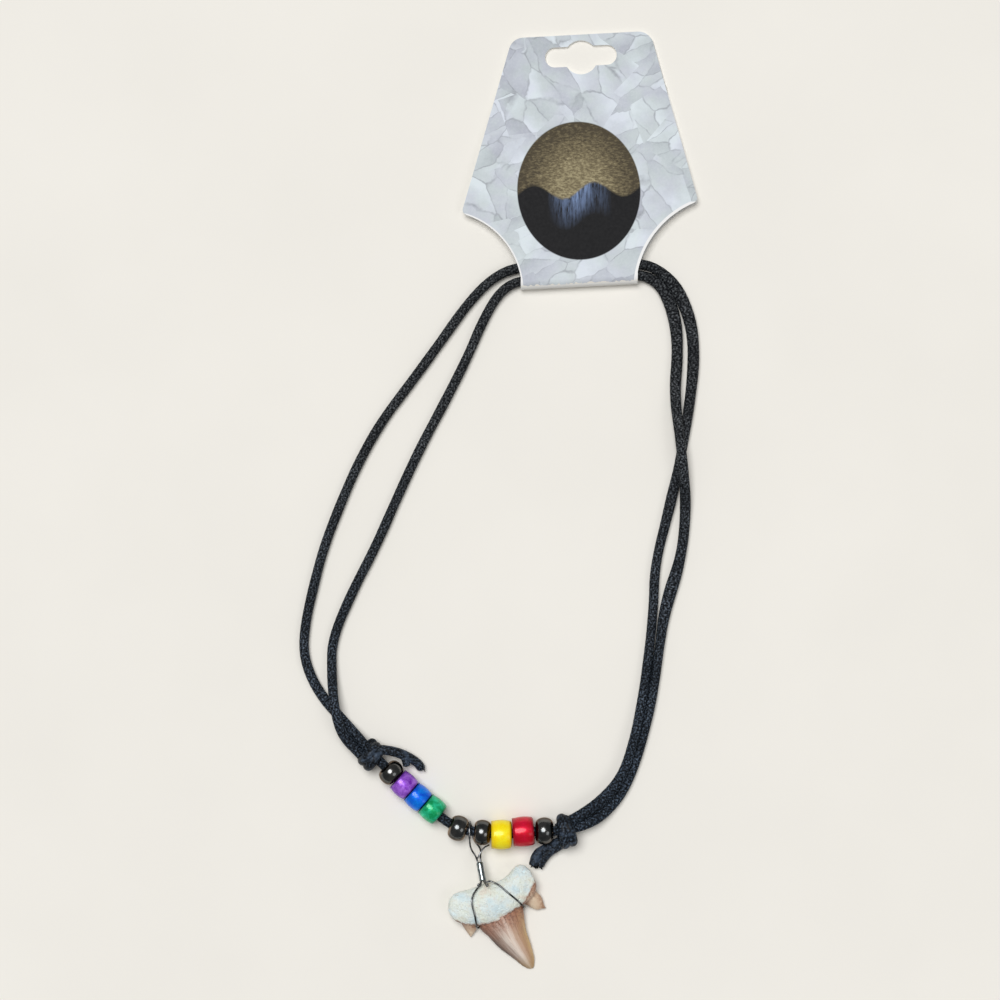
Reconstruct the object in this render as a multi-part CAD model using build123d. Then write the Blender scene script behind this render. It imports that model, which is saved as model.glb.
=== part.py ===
from build123d import *
import copy
import math
import os

# A shark tooth necklace laid out flat with the folded card that it hangs from.
# Millimetres, +Z up, +Y towards the card's top. The necklace lies on the plane Z = 0.

# Cord
cord_d = 2.4
cord_gap = 0.1

# Round metal beads, with flat ends where the hole comes out
metal_bead_d = 6.3
metal_bead_length = 4.2
metal_bead_bore = 3.1

# Barrel beads
barrel_bore = 3.2
barrel_crown = 0.25
barrel_rim = 0.6
barrel_flare = 0.55
bead_gap = 0.25
bead_sag = 0.2

# Each barrel bead's name, diameter and length
BARRELS = {
    "purple_bead": (6.35, 4.35),
    "blue_bead": (6.1, 4.35),
    "green_bead": (6.1, 4.75),
    "yellow_bead": (7.4, 5.1),
    "red_bead": (7.3, 5.35),
}

# Where each group of beads starts, measured along the bead cord from the left knot
first_bead_at = 7.2
second_bead_at = 29.1
third_bead_at = 34.9
fourth_bead_at = 50.5

# Knots
knot_gap = 0.1
knot_wrap_d = 2.4
knot_wrap_pitch = 2.1
knot_sleeve_d = 4.4
knot_length = 3.6
knot_stub = 3.0

# The slant of each knot's two turns
LEFT_AXES = ((0.86, -0.50, 0.10), (0.80, -0.60, -0.10))
RIGHT_AXES = ((0.97, -0.05, 0.10), (0.96, 0.25, -0.10))

# How far each knot's turns sit off the cord inside them
LEFT_OFFSET = (-0.35, -0.40, 0.15)
RIGHT_OFFSET = (0.0, 0.0, 0.15)

# Wire bail and its crimp tube
wire_d = 0.5
wire_gap = 0.15
wire_lane = 0.3
crimp_d = 1.7
crimp_bore = 1.3
crimp_length = 4.7
crimp_across = -0.05
crimp_above = 0.2
crimp_low = 4.9
crimp_high = 3.8
crimp_lean = 10.7
bail_at = 32.0
bail_mouth = 1.1

# Tooth
tooth_x = -7.6
tooth_y = -103.6
tooth_tilt = 22.9
tooth_lift = 0.75
crown_width = 12.2
crown_length = 15.6
crown_thickness = 4.3
crown_back = 0.25
root_width = 23.0
root_height = 9.8
root_thickness = 5.6
cusplet_thickness = 2.6

# Folded display card
card_x = 12.0
card_y = 53.5
card_turn = 3.0
card_wall = 0.45
card_height = 63.2
card_lean = 0.061
card_waist = 29.2
card_shoulders = 59.2
card_shoulder_level = 19.8
card_top_width = 34.5
card_corner = 3.8
card_shoulder_corner = 1.4
card_glued = 14.0
waist_level = 3.0
waist_arc_bulge = 3.1
slot_length = 18.0
slot_height = 5.0
slot_level = 57.8
slot_eye_d = 8.5
slot_eye_level = 57.5
cord_lanes = (2.5, 5.4)
fold_slack = 0.3

# Neck strand a, from its tied end at the left knot round to the run that enters the right knot
STRAND_A = [
    (-43.7, -62.4, 3.6),
    (-46.0, -59.8, 4.0),
    (-47.9, -56.3, 4.4),
    (-49.2, -50.4, 4.2),
    (-49.9, -42.6, 1.5),
    (-49.8, -34.6, 1.2),
    (-44.8, -22.8, 1.2),
    (-38.8, -11.3, 1.2),
    (-33.7, 0.4, 1.2),
    (-27.8, 13.2, 1.2),
    (-21.2, 25.5, 1.2),
    (-15.8, 36.2, 1.2),
    (-12.2, 44.8, 1.2),
    (-8.2, 51.9, 1.35),
    (-3.6, 55.1, 1.85),
    (4.5, 55.6, 1.85),
    (16.5, 56.2, 1.85),
    (27.4, 56.8, 1.85),
    (32.2, 54.6, 1.35),
    (35.2, 50.8, 1.2),
    (36.9, 44.3, 1.2),
    (36.9, 36.3, 1.2),
    (36.0, 27.2, 1.5),
    (36.8, 17.6, 4.0),
    (38.2, 6.8, 4.0),
    (38.9, -3.0, 1.3),
    (37.5, -14.2, 1.2),
    (33.5, -26.8, 1.2),
    (32.1, -37.2, 1.2),
    (30.5, -48.6, 1.2),
    (28.1, -59.3, 1.2),
    (24.7, -69.6, 1.2),
    (20.2, -76.2, 1.4),
    (13.8, -80.9, 3.7),
]

# Neck strand b, from the run that leaves the left knot round to its tied end at the right knot
STRAND_B = [
    (-43.6, -58.3, 3.9),
    (-46.8, -55.1, 1.25),
    (-51.6, -49.9, 1.2),
    (-55.0, -44.4, 1.2),
    (-57.0, -38.0, 1.2),
    (-56.5, -30.6, 1.2),
    (-54.5, -21.6, 1.2),
    (-51.9, -11.7, 1.2),
    (-48.0, -1.5, 1.2),
    (-43.2, 9.2, 1.2),
    (-36.8, 19.6, 1.2),
    (-29.9, 29.1, 1.2),
    (-22.5, 40.0, 1.2),
    (-16.1, 49.1, 1.2),
    (-10.0, 55.6, 1.35),
    (-3.6, 58.6, 1.85),
    (4.4, 58.5, 1.85),
    (16.4, 59.1, 1.85),
    (27.9, 59.6, 1.85),
    (33.2, 57.3, 1.35),
    (37.6, 52.6, 1.2),
    (40.6, 44.4, 1.2),
    (41.1, 35.8, 1.2),
    (39.8, 24.8, 1.2),
    (37.6, 11.4, 1.2),
    (34.4, -2.2, 1.2),
    (31.0, -15.8, 1.2),
    (30.4, -27.2, 1.2),
    (29.2, -39.8, 1.2),
    (27.6, -49.8, 1.8),
    (25.7, -60.0, 2.6),
    (22.7, -69.4, 2.8),
    (17.4, -75.1, 3.2),
    (11.3, -78.6, 4.2),
]

# The same cord from the left knot through the beads to the right knot, without its two joints
BEAD_CORD = [
    (-34.8, -68.6, 3.25),
    (-26.8, -75.8, 3.1),
    (-19.5, -81.9, 3.15),
    (-12.4, -83.1, 3.2),
    (-6.2, -83.25, 3.6),
    (0.3, -82.75, 3.6),
    (5.4, -82.7, 3.65),
]

# Where the cord's pieces meet inside the knots, as a share of the straight run between two corners
left_joint_share = 0.45
right_joint_share = 0.38

# The corner under the card after which each neck strand's two halves meet
halved_after = {"neck_strand_a": 15, "neck_strand_b": 17}

# The free tails of the two knots and the small spurs beside their tips
LEFT_TAIL = [
    (-39.6, -61.9, 4.4),
    (-36.6, -61.9, 4.3),
    (-33.0, -62.8, 3.4),
    (-29.8, -64.4, 2.2),
    (-27.7, -66.1, 1.4),
    (-27.3, -67.5, 1.25),
]
LEFT_SPUR = [
    (-31.6, -64.0, 3.1),
    (-31.0, -65.0, 2.9),
    (-30.9, -66.3, 2.6),
]
RIGHT_TAIL = [
    (9.7, -84.5, 3.2),
    (7.4, -86.0, 2.0),
    (3.3, -88.4, 1.25),
    (1.9, -91.5, 1.2),
]
RIGHT_SPUR = [
    (7.6, -84.9, 2.4),
    (3.4, -87.0, 1.2),
    (1.0, -88.6, 1.2),
    (0.6, -91.4, 1.25),
]
left_spur_d = 1.4

# The tooth's crown from its base to its tip: how far down, where the left and right edges are,
# and how thick it is, as shares of the crown's length, half its width and its thickness
CROWN_ROWS = [
    # down, left, right, thick
    (-0.14, -0.96, 0.98, 0.86),
    (0.00, -1.00, 1.00, 1.00),
    (0.20, -0.74, 0.86, 0.90),
    (0.43, -0.53, 0.73, 0.74),
    (0.62, -0.30, 0.69, 0.57),
    (0.81, -0.05, 0.62, 0.38),
    (0.96, 0.16, 0.48, 0.17),
    (0.995, 0.27, 0.41, 0.09),
]

# The root from its left lobe to its right lobe: place across, lower and upper end, and
# thickness, as shares of half its width, its height and its thickness
ROOT_ROWS = [
    # across, low, high, thick
    (-0.99, 0.48, 0.66, 0.20),
    (-0.92, 0.31, 0.84, 0.52),
    (-0.72, 0.12, 0.98, 0.74),
    (-0.38, -0.03, 0.95, 0.96),
    (0.00, -0.06, 0.91, 1.00),
    (0.29, -0.02, 0.85, 0.98),
    (0.64, 0.08, 0.99, 0.80),
    (0.91, 0.26, 0.93, 0.54),
    (0.99, 0.50, 0.76, 0.20),
]

# Each side cusplet: the two ends of its base and its tip, across and up from the crown's base,
# as shares of half the root's width and the root's height
CUSPLETS = [
    # base left, base right, tip
    ((-0.86, 0.30), (-0.53, 0.02), (-0.79, -0.25)),
    ((0.55, 0.05), (0.84, 0.36), (0.97, -0.31)),
]

# The wire's way round the tooth, from the crimp tube over the root's face, through the left
# notch, behind the crown and back: across and up as shares of half the root's width and the
# root's height, and how high over the tooth's back as a share of the root's thickness
WRAP_ROWS = [
    # across, up, high
    (-0.20, 0.93, 0.88),
    (-0.37, 0.81, 1.02),
    (-0.46, 0.62, 1.09),
    (-0.49, 0.30, 1.08),
    (-0.56, 0.00, 0.86),
    (-0.585, -0.09, 0.26),
    (-0.46, -0.05, -0.08),
    (0.02, 0.00, -0.08),
    (0.46, -0.03, -0.08),
    (0.575, -0.06, 0.26),
    (0.55, 0.03, 0.86),
    (0.48, 0.26, 1.04),
    (0.36, 0.52, 1.08),
    (0.24, 0.79, 0.92),
    (0.10, 0.97, 0.78),
]

# The loop over the bead cord, from the tube's left lane over the cord and back under it:
# across and up from the cord, and how high over the cord's centre
LOOP_ROWS = [
    # across, up, high
    (0.1, -4.2, 1.0),
    (-0.2, -1.9, 1.8),
    (-0.25, 1.2, 1.85),
    (-0.1, 3.0, 0.0),
    (0.1, 1.6, -2.05),
    (0.75, -2.4, -2.3),
    (2.75, -4.4, -1.2),
]


def arc_radii(route):
    """The radius of each corner's arc, as large as its two runs allow."""
    radii = []
    for before, corner, after in zip(route, route[1:], route[2:]):
        arriving = Vector(*corner) - Vector(*before)
        leaving = Vector(*after) - Vector(*corner)
        half_turn = math.radians(arriving.get_angle(leaving)) / 2
        shorter = min(arriving.length, leaving.length)
        radii.append(0.45 * shorter / math.tan(half_turn))
    return radii


def path_along(route, radii=None):
    return FilletPolyline(*[Vector(*p) for p in route], radius=radii or arc_radii(route))


def tube(path, diameter):
    start = Plane(origin=path @ 0, z_dir=path % 0)
    return sweep(start * Circle(diameter / 2), path=path)


def report_tube(name, radii, path, solid, diameter):
    share = solid.volume / (path.length * math.pi * diameter**2 / 4)
    tight = ", ".join(f"{radius:.1f}" for radius in radii)
    print(f"{name}: {path.length:.1f} mm long, volume share {share:.4f}, radii {tight}")


def halves(name, route, corner):
    """A neck strand in two tubes that meet face to face halfway along the run after a corner,
    with the arcs of the whole route."""
    radii = arc_radii(route)
    middle = between(route[corner], route[corner + 1], 0.5)
    runs = {
        name + "_left": ([*route[:corner + 1], middle], radii[:corner]),
        name + "_right": ([middle, *route[corner + 1:]], radii[corner:]),
    }
    solids = {}
    for half, (points, bends) in runs.items():
        path = path_along(points, bends)
        solids[half] = tube(path, cord_d)
        report_tube(half, bends, path, solids[half], cord_d)
    return solids


def turned(profile, where, direction):
    """A profile of axial and radial points, revolved and set on a line."""
    solid = revolve(profile, axis=Axis.X)
    return Plane(origin=where, x_dir=direction, z_dir=upright(direction)) * solid


def upright(direction):
    """The direction nearest to up that is square to a direction."""
    level = Vector(0, 0, 1)
    return (level - direction * direction.dot(level)).normalized()


def metal_bead(where, direction):
    half = metal_bead_length / 2
    inner = metal_bead_bore / 2
    belly = ThreePointArc((-half, inner), (0, metal_bead_d / 2), (half, inner))
    bore = Line((half, inner), (-half, inner))
    ball = turned(make_face([belly, bore]), where, direction)
    return ball


def barrel_bead(where, direction, diameter, length):
    half = length / 2
    inner = barrel_bore / 2
    shoulder = diameter / 2 - barrel_crown
    corners = [(-half, inner), (half, inner), (half, shoulder)]
    sides = Polyline(*corners)
    belly = ThreePointArc((half, shoulder), (0, diameter / 2), (-half, shoulder))
    end = Line((-half, shoulder), (-half, inner))
    profile = make_face([*sides.edges(), belly, end])
    outer = [v for v in profile.vertices() if v.Y > (inner + shoulder) / 2]
    profile = fillet(outer, barrel_rim)
    rims = [v for v in profile.vertices() if abs(v.Y - inner) < 0.01]
    profile = fillet(rims, barrel_flare)
    return turned(profile, where, direction)


def place_on(path, distance, height):
    """The point at a distance along a path and the path's direction. The bead rests on the
    ground, or hangs from the cord where the cord runs too high for that."""
    share = distance / path.length
    at = path @ share
    along = path % share
    flat = Vector(along.X, along.Y, 0).normalized()
    return Vector(at.X, at.Y, max(height, at.Z - bead_sag)), flat


def bead_string(path):
    beads = {}
    half_metal = metal_bead_length / 2

    def add_metal(name, distance):
        where, direction = place_on(path, distance, metal_bead_d / 2)
        beads[name] = metal_bead(where, direction)

    def add_barrels(names, start):
        for name in names:
            diameter, length = BARRELS[name]
            centre = start + length / 2
            where, direction = place_on(path, centre, diameter / 2)
            beads[name] = barrel_bead(where, direction, diameter, length)
            start += length + bead_gap

    add_metal("metal_bead_1", first_bead_at)
    add_barrels(["purple_bead", "blue_bead", "green_bead"], first_bead_at + half_metal + bead_gap)
    add_metal("metal_bead_2", second_bead_at)
    add_metal("metal_bead_3", third_bead_at)
    add_barrels(["yellow_bead", "red_bead"], third_bead_at + half_metal + bead_gap)
    add_metal("metal_bead_4", fourth_bead_at)
    return beads


def between(first, second, share):
    return tuple(a + (b - a) * share for a, b in zip(first, second))


def wrap_ring(centre, axis):
    """One turn of the cord round the cord that runs through the knot."""
    major = (cord_d + knot_wrap_d) / 2 + knot_gap
    return Plane(origin=centre, z_dir=Vector(*axis)) * Torus(major, knot_wrap_d / 2)


def knot(core_route, offset, axes, tied_route, tails):
    """Two slanted turns round the core cord on a short sleeve, a stub that meets the tying
    strand's end face, and the free tail. The core cord's way through is cut afterwards."""
    centre = Vector(*core_route[0]) + Vector(*offset)
    along = (Vector(*core_route[1]) - Vector(*core_route[0])).normalized()
    shift = along * (knot_wrap_pitch / 2)
    tied_end = Vector(*tied_route[0])
    inward = (tied_end - Vector(*tied_route[1])).normalized()
    stub = Plane(origin=tied_end, z_dir=inward) * Cylinder(
        cord_d / 2, knot_stub, align=(Align.CENTER, Align.CENTER, Align.MIN)
    )
    sleeve = Plane(origin=centre, z_dir=along) * Cylinder(knot_sleeve_d / 2, knot_length)
    body = wrap_ring(centre - shift, axes[0]) + wrap_ring(centre + shift, axes[1])
    body += sleeve
    body += stub
    for route, diameter in tails:
        body += tube(path_along(route), diameter)
    return body


def tooth_plane():
    turn = math.radians(tooth_tilt)
    return Plane(
        origin=(tooth_x, tooth_y, 0),
        x_dir=(math.cos(turn), math.sin(turn), 0),
        z_dir=(0, 0, 1),
    )


def lens(left, right, back, thick):
    """A section across an enamel blade: two arcs that meet at the cutting edges."""
    middle = [(a + b) / 2 for a, b in zip(left, right)]
    edge = back + 0.3 * thick
    front = ThreePointArc((*left, edge), (*middle, back + thick), (*right, edge))
    rear = ThreePointArc((*right, edge), (*middle, back), (*left, edge))
    return make_face([front, rear])


def crown():
    sections = []
    for down, left, right, thick in CROWN_ROWS:
        y = -down * crown_length
        back = tooth_lift - (tooth_lift - crown_back) * max(down, 0)
        half = crown_width / 2
        sections.append(lens((left * half, y), (right * half, y), back, thick * crown_thickness))
    return loft(sections)


def cusplet(base_left, base_right, tip):
    """A small side point, from inside the root to its tip."""
    half = root_width / 2
    left, right, end = [(a * half, b * root_height) for a, b in (base_left, base_right, tip)]
    sections = []
    for share in (-0.25, 0.0, 0.4, 0.75, 0.96):
        bulge = 0.12 * math.sin(math.pi * max(share, 0))
        low = between(left, end, share)
        high = between(right, end, share)
        low = between(low, high, -bulge)
        high = between(high, low, -bulge)
        thick = cusplet_thickness * (1 - 0.9 * max(share, 0))
        sections.append(lens(low, high, tooth_lift, thick))
    return loft(sections)


def root():
    sections = []
    middle = tooth_lift + root_thickness / 2
    for across, low, high, thick in ROOT_ROWS:
        x = across * root_width / 2
        y = (low + high) / 2 * root_height
        section = Ellipse((high - low) / 2 * root_height, thick * root_thickness / 2)
        place = Plane(origin=(x, y, middle), x_dir=(0, 1, 0), z_dir=(1, 0, 0))
        sections.append(place * section)
    return loft(sections)


def shark_tooth():
    body = root() + crown()
    for rows in CUSPLETS:
        body += cusplet(*rows)
    return tooth_plane() * body


def crimp_ends():
    """The middles of the crimp tube's lower and upper mouths."""
    over_root = Vector(crimp_across * root_width / 2, root_height + crimp_above, 0)
    lower = tooth_plane().from_local_coords(over_root)
    lower = Vector(lower.X, lower.Y, crimp_low)
    lean = math.radians(crimp_lean)
    rise = crimp_high - crimp_low
    flat = math.sqrt(crimp_length**2 - rise**2)
    upper = lower + Vector(-math.sin(lean) * flat, math.cos(lean) * flat, rise)
    return lower, upper


def crimp_tube():
    lower, upper = crimp_ends()
    sleeve = Cylinder(crimp_d / 2, crimp_length) - Cylinder(crimp_bore / 2, crimp_length)
    return Plane(origin=(lower + upper) * 0.5, z_dir=upper - lower) * sleeve


def bail_route(path):
    """The wire starts inside the tube, loops over the bead cord, runs down through the tube,
    goes round the tooth and comes back into the tube."""
    lower, upper = crimp_ends()
    along = (upper - lower).normalized()
    lane = along.cross(Vector(0, 0, 1)).normalized() * wire_lane
    middle = (lower + upper) * 0.5
    step = along * bail_mouth
    on_cord = path @ (bail_at / path.length)
    loop = []
    for across, up, high in LOOP_ROWS:
        loop.append(on_cord + Vector(across, up, high))
    wrap = []
    for across, up, high in WRAP_ROWS:
        flat = Vector(across * root_width / 2, up * root_height, 0)
        at = tooth_plane().from_local_coords(flat)
        wrap.append(Vector(at.X, at.Y, tooth_lift + high * root_thickness))
    start = middle + along * wire_gap - lane
    finish = middle - along * wire_gap - lane
    down = [upper + step + lane, lower - step * 0.7 + lane]
    route = [start, upper + step - lane, *loop, *down, *reversed(wrap)]
    return [*route, lower - step * 0.7 - lane, finish]


def card_plane():
    turn = math.radians(card_turn)
    return Plane(
        origin=(card_x, card_y, 0),
        x_dir=(math.cos(turn), math.sin(turn), 0),
        z_dir=(0, 0, 1),
    )


def card_point(side, half_width, level):
    return (side * half_width + card_lean * level, level)


def card_outline():
    """The card seen flat, with a hollow either side of its waist."""
    waist, shoulder, top = card_waist / 2, card_shoulders / 2, card_top_width / 2
    rise = card_shoulder_level - waist_level
    reach = shoulder - waist
    chord = math.hypot(rise, reach)
    mid_half = (waist + shoulder) / 2 - waist_arc_bulge * rise / chord
    mid_level = (waist_level + card_shoulder_level) / 2 + waist_arc_bulge * reach / chord
    edges = []
    ends = {}
    for side in (-1, 1):
        foot = card_point(side, waist, -1)
        neck = card_point(side, waist, waist_level)
        hollow = card_point(side, mid_half, mid_level)
        wide = card_point(side, shoulder, card_shoulder_level)
        high = card_point(side, top, card_height)
        edges += [Line(foot, neck), ThreePointArc(neck, hollow, wide), Line(wide, high)]
        ends[side] = (foot, high)
    edges += [Line(ends[-1][0], ends[1][0]), Line(ends[-1][1], ends[1][1])]
    outline = make_face(edges)
    tops = [v for v in outline.vertices() if abs(v.Y - card_height) < 0.01]
    outline = fillet(tops, card_corner)
    wides = [v for v in outline.vertices() if abs(v.Y - card_shoulder_level) < 0.01]
    return fillet(wides, card_shoulder_corner)


def card_profile():
    """The folded card from its side: a back panel, a round fold and a front panel that leans
    down to the back panel, where the two are glued together."""
    glued = card_height - card_glued
    reach = cord_lanes[1] + cord_d / 2
    inside = (cord_d + fold_slack) / (1 - reach / glued)
    outer = inside / 2 + card_wall
    skin = Polyline(
        (outer, 0), (card_height, 0), (card_height, 2 * card_wall), (glued, 2 * card_wall),
        (outer, 2 * outer),
    )
    nose = ThreePointArc((outer, 2 * outer), (0, outer), (outer, 0))
    hollow = Polyline(
        (outer, card_wall), (glued, card_wall), (outer, 2 * outer - card_wall)
    )
    bend = ThreePointArc(
        (outer, 2 * outer - card_wall), (card_wall, outer), (outer, card_wall)
    )
    solid = make_face([*skin.edges(), nose])
    void = make_face([*hollow.edges(), bend])
    return solid - void


def display_card():
    profile = Plane.YZ * card_profile()
    blank = extrude(profile, amount=card_shoulders, both=True)
    outline = extrude(Plane.XY.offset(-1) * card_outline(), amount=8)
    slot_at = Pos(card_lean * slot_level, slot_level)
    eye_at = Pos(card_lean * slot_eye_level, slot_eye_level)
    opening = slot_at * SlotOverall(slot_length, slot_height) + eye_at * Circle(slot_eye_d / 2)
    hanger = extrude(Plane.XY.offset(-1) * opening, amount=8)
    return card_plane() * ((blank & outline) - hanger)


# Every piece of the necklace and its card, placed as it lies
left_joint = between(STRAND_B[0], BEAD_CORD[0], left_joint_share)
right_joint = between(BEAD_CORD[-1], STRAND_A[-1], right_joint_share)
route_a = [*STRAND_A, right_joint]
route_b = [left_joint, *STRAND_B]
route_beads = [left_joint, *BEAD_CORD, right_joint]
path_a, path_b, path_beads = (path_along(r) for r in (route_a, route_b, route_beads))

parts = {}
for name, route in (("neck_strand_a", route_a), ("neck_strand_b", route_b)):
    parts.update(halves(name, route, halved_after[name]))
parts["bead_cord"] = tube(path_beads, cord_d)
report_tube("bead_cord", arc_radii(route_beads), path_beads, parts["bead_cord"], cord_d)

parts.update(bead_string(path_beads))

left_tails = [(LEFT_TAIL, cord_d), (LEFT_SPUR, left_spur_d)]
right_tails = [(RIGHT_TAIL, cord_d), (RIGHT_SPUR, cord_d)]
left_knot = knot(route_beads, LEFT_OFFSET, LEFT_AXES, route_a, left_tails)
right_knot = knot(route_a[::-1], RIGHT_OFFSET, RIGHT_AXES, route_b[::-1], right_tails)
clear_d = cord_d + 2 * knot_gap
radii_a, radii_b, radii_beads = (arc_radii(r) for r in (route_a, route_b, route_beads))
way_in = [*STRAND_B[2::-1], *BEAD_CORD[:2]]
way_in_radii = [radii_b[1], radii_b[0], radii_beads[0]]
way_out = [*BEAD_CORD[-2:], *STRAND_A[:-4:-1]]
way_out_radii = [radii_beads[-1], radii_a[-1], radii_a[-2]]
parts["left_knot"] = left_knot - tube(path_along(way_in, way_in_radii), clear_d)
parts["right_knot"] = right_knot - tube(path_along(way_out, way_out_radii), clear_d)

parts["shark_tooth"] = shark_tooth()
parts["crimp_tube"] = crimp_tube()
wire_route = bail_route(path_beads)
wire_path = path_along(wire_route)
parts["wire_bail"] = tube(wire_path, wire_d)
report_tube("wire_bail", arc_radii(wire_route), wire_path, parts["wire_bail"], wire_d)
parts["display_card"] = display_card()

# The origin is under the middle of everything but the two neck strands
firm = [shape for name, shape in parts.items() if not name.startswith("neck_strand")]
firm_box = Compound(children=[copy.copy(shape) for shape in firm]).bounding_box()
middle = firm_box.center()
to_origin = Pos(-middle.X, -middle.Y, -firm_box.min.Z)
print(f"moved by {-middle.X:.3f}, {-middle.Y:.3f}, {-firm_box.min.Z:.3f}")

os.makedirs("parts", exist_ok=True)
for name, shape in parts.items():
    shape = to_origin * shape
    box = shape.bounding_box()
    corners = f"{tuple(round(v, 2) for v in box.min)} to {tuple(round(v, 2) for v in box.max)}"
    print(f"{name}: {len(shape.solids())} solid, {shape.volume:.2f} mm3, {corners}")
    export_step(shape, f"parts/{name}.step")
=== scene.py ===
# A shark tooth necklace that lies on a pale surface, its neck cord held by a folded card. The
# routes and places of its pieces are in millimetres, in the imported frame.
import math
import random

import bmesh
import bpy
import numpy as np
from mathutils import Matrix, Vector, noise


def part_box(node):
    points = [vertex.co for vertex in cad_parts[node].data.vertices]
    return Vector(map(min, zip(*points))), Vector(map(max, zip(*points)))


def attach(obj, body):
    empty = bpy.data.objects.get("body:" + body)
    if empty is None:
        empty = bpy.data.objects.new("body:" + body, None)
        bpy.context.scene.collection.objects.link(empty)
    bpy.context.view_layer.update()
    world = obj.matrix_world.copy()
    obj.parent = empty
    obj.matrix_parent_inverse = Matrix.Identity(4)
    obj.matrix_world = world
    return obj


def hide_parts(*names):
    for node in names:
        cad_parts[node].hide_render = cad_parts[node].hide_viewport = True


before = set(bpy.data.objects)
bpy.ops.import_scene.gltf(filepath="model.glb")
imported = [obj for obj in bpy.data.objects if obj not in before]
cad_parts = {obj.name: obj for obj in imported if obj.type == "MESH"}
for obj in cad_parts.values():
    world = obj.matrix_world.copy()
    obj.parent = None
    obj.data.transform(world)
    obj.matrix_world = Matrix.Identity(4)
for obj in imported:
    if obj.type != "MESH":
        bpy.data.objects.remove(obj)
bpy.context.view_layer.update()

MM = 0.001

# The diameters of the cords, of the cord in a knot, of the thin spur and of a loose fibre
CORD_D = 2.4 * MM
KNOT_D = 2.6 * MM
SPUR_D = 1.7 * MM
FIBRE_D = 0.2 * MM
# The braid's cells round a cord and their length, how high the yarns stand on a loose and on a
# tight cord, and how many points a cord's rings have and how far apart they are
BRAID_CELLS = 8
SPUR_CELLS = 6
BRAID_CELL = 0.92 * MM
BRAID_RELIEF = 0.055 * MM
TIGHT_RELIEF = 0.045 * MM
RING_POINTS = 30
RING_STEP = 0.23 * MM

# The camera's frame: 250 mm across at a height in the object's middle, seen straight down
VIEW_WIDTH = 0.25
VIEW_AT = (-0.006164, 0.000108)
VIEW_LEVEL = 2 * MM
LENS = 100.0
SENSOR = 36.0

# Each softbox's place, size and power, and what they are aimed at
SOFTBOXES = {
    "key_softbox": ((-1.60, 2.30, 8.30), 5.6, 625.0),
    "fill_softbox": ((3.60, -1.60, 5.60), 3.6, 48.0),
}
LIGHT_AIM = (-0.005, -0.02, 0.0)
WORLD_LIGHT = 0.2
FLOOR_SIZE = 6.0

# Neck strand a, from the left knot through the card's fold to the right knot
STRAND_A = [
    (-40.06, -64.38, 3.7), (-41.85, -62.32, 3.6), (-44.3, -59.84, 4.0), (-46.31, -56.44, 4.4),
    (-47.61, -50.54, 4.2), (-48.31, -42.74, 1.5), (-48.21, -34.74, 1.2), (-43.21, -22.94, 1.2),
    (-37.21, -11.44, 1.2), (-32.11, 0.26, 1.2), (-26.21, 13.06, 1.2), (-19.61, 25.36, 1.2),
    (-14.21, 36.06, 1.2), (-10.61, 44.66, 1.2), (-6.61, 51.76, 1.35), (-2.01, 54.96, 1.85),
    (6.09, 55.46, 1.85), (18.09, 56.06, 1.85), (28.99, 56.66, 1.85), (33.59, 54.4, 1.35),
    (36.17, 50.26, 1.22), (37.99, 43.76, 1.22), (38.29, 36.16, 1.22), (37.49, 27.06, 1.5),
    (38.39, 17.46, 4.0), (39.79, 6.66, 4.0), (40.35, -3.14, 1.3), (39.22, -14.34, 1.2),
    (35.1, -26.94, 1.2), (33.66, -37.34, 1.2), (32.09, -48.74, 1.2), (29.69, -59.44, 1.2),
    (26.29, -69.74, 1.2), (21.92, -76.52, 1.4), (15.45, -81.2, 3.7), (10.18, -82.16, 3.67),
]

# Neck strand b, outside strand a
STRAND_B = [
    (-38.05, -63.08, 3.61), (-42.01, -58.44, 3.9), (-45.21, -55.24, 1.25), (-50.01, -50.04, 1.2),
    (-53.41, -44.54, 1.2), (-55.41, -38.14, 1.2), (-54.91, -30.74, 1.2), (-52.91, -21.74, 1.2),
    (-50.31, -11.84, 1.2), (-46.41, -1.64, 1.2), (-41.81, 9.11, 1.2), (-35.86, 19.76, 1.2),
    (-28.71, 29.16, 1.2), (-20.91, 39.86, 1.2), (-14.51, 48.96, 1.2), (-8.41, 55.46, 1.35),
    (-2.01, 58.46, 1.85), (5.99, 58.36, 1.85), (17.99, 58.96, 1.85), (29.49, 59.46, 1.85),
    (34.69, 56.96, 1.35), (38.72, 52.2, 1.22), (41.79, 44.26, 1.22), (42.44, 35.66, 1.22),
    (41.39, 24.66, 1.2), (39.19, 11.26, 1.2), (36.12, -2.34, 1.2), (32.59, -15.94, 1.2),
    (32.22, -27.34, 1.2), (30.93, -39.94, 1.2), (29.38, -49.94, 1.8), (27.38, -60.14, 2.6),
    (24.2, -69.44, 2.8), (19.0, -75.3, 3.2), (13.08, -79.08, 4.2), (10.2, -80.2, 4.3),
]

# Where a strand lies pressed wider: the place, how far it reaches and by what share
WIDER_A = [
    ((36.2, 49.0), 8.5, 0.3), ((38.0, 33.0), 12.0, 0.18), ((40.2, -2.0), 7.0, 0.15),
    ((36.6, -22.4), 8.0, 0.36), ((20.5, -77.3), 7.0, 0.18), ((-44.2, -60.0), 4.0, 0.1),
]
WIDER_B = [
    ((39.0, 50.5), 8.5, 0.3), ((42.4, 34.0), 13.0, 0.2), ((36.6, -0.5), 6.0, 0.12),
    ((18.7, -75.3), 8.0, 0.22), ((-50.0, -50.0), 6.0, 0.1),
]

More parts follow.
